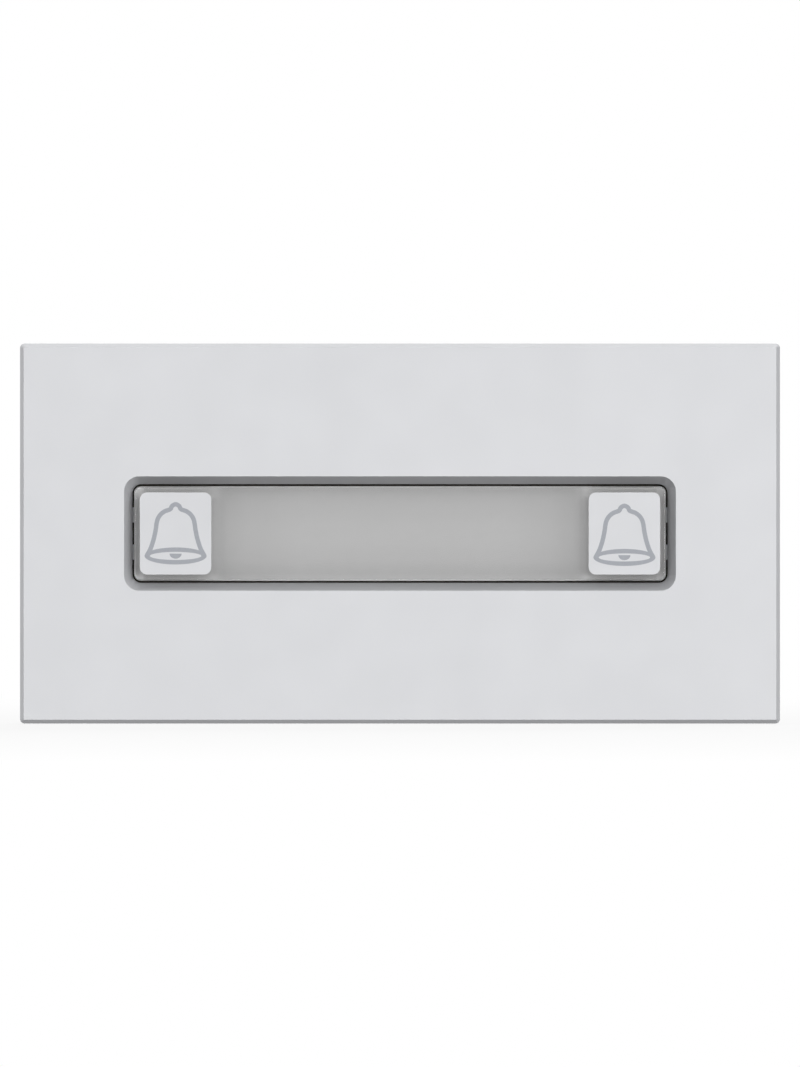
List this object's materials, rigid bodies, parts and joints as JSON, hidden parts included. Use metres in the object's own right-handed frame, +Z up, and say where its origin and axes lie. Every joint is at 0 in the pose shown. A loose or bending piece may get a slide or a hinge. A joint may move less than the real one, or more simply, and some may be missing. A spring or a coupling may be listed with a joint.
{
  "type": "intercom button module",
  "caption": "Wide, flat intercom module with a long sprung call button behind a clear lens, a blank name card, bell tiles at its ends and a sealed rear housing with bus sockets.",
  "frame": {"origin": "centre of the four frame screw holes, on the plane of the front plate's rear rim", "axes": "+X to the right seen from the front, +Y from the front towards the wall, +Z up"},
  "size_m": [0.1, 0.026, 0.05],
  "materials": {
    "plate_grey": "fine moulded grain",
    "lens_clear": "clear, polished",
    "tile_grey": "satin, with a grey printed bell",
    "card_grey": "plain card",
    "diffuser_white": "milky",
    "tray_dark": "moulded",
    "housing_black": "fine spark grain",
    "seal_rubber": "soft, matt",
    "screw_steel": "zinc plated",
    "spring_steel": "drawn wire",
    "board_green": "solder mask",
    "led_white": "phosphor window",
    "chip_black": "moulded",
    "can_aluminium": "drawn can",
    "socket_ivory": "natural nylon",
    "pin_gold": "plated",
    "switch_black": "moulded",
    "cup_natural": "natural nylon"
  },
  "bodies": {
    "module": {"front_plate": "plate_grey", "frame_gasket": "seal_rubber", "rear_housing": "housing_black", "housing_gasket": "seal_rubber", "housing_screws": "screw_steel", "board_screws": "screw_steel", "circuit_board": "board_green", "backlight_leds": "led_white", "controller_chip": "chip_black", "bus_capacitor": "can_aluminium", "bus_socket_in": "socket_ivory", "bus_socket_out": "socket_ivory", "bus_pins": "pin_gold", "spring_cups": "cup_natural", "return_spring_left": "spring_steel", "return_spring_right": "spring_steel", "switch_body_left": "switch_black", "switch_body_right": "switch_black"},
    "call_button": {"button_lens": "lens_clear", "bell_tile_left": "tile_grey", "bell_tile_right": "tile_grey", "name_label": "card_grey", "light_diffuser": "diffuser_white", "label_tray": "tray_dark"},
    "plunger_left": {"switch_plunger_left": "switch_black"},
    "plunger_right": {"switch_plunger_right": "switch_black"}
  },
  "joints": [
    {"name": "button_press", "type": "slide", "parent": "module", "child": "call_button", "axis": [0, 1, 0], "range_m": [0, 0.0009], "stiffness_N_per_m": 600, "springref_m": -0.002, "deforming": ["return_spring_left", "return_spring_right"]},
    {"name": "plunger_left_press", "type": "slide", "parent": "module", "child": "plunger_left", "axis": [0, 1, 0], "range_m": [0, 0.0009]},
    {"name": "plunger_right_press", "type": "slide", "parent": "module", "child": "plunger_right", "axis": [0, 1, 0], "range_m": [0, 0.0009]}
  ],
  "couplings": [
    {"joint": "plunger_left_press", "follows": "button_press", "ratio": 1},
    {"joint": "plunger_right_press", "follows": "button_press", "ratio": 1}
  ]
}
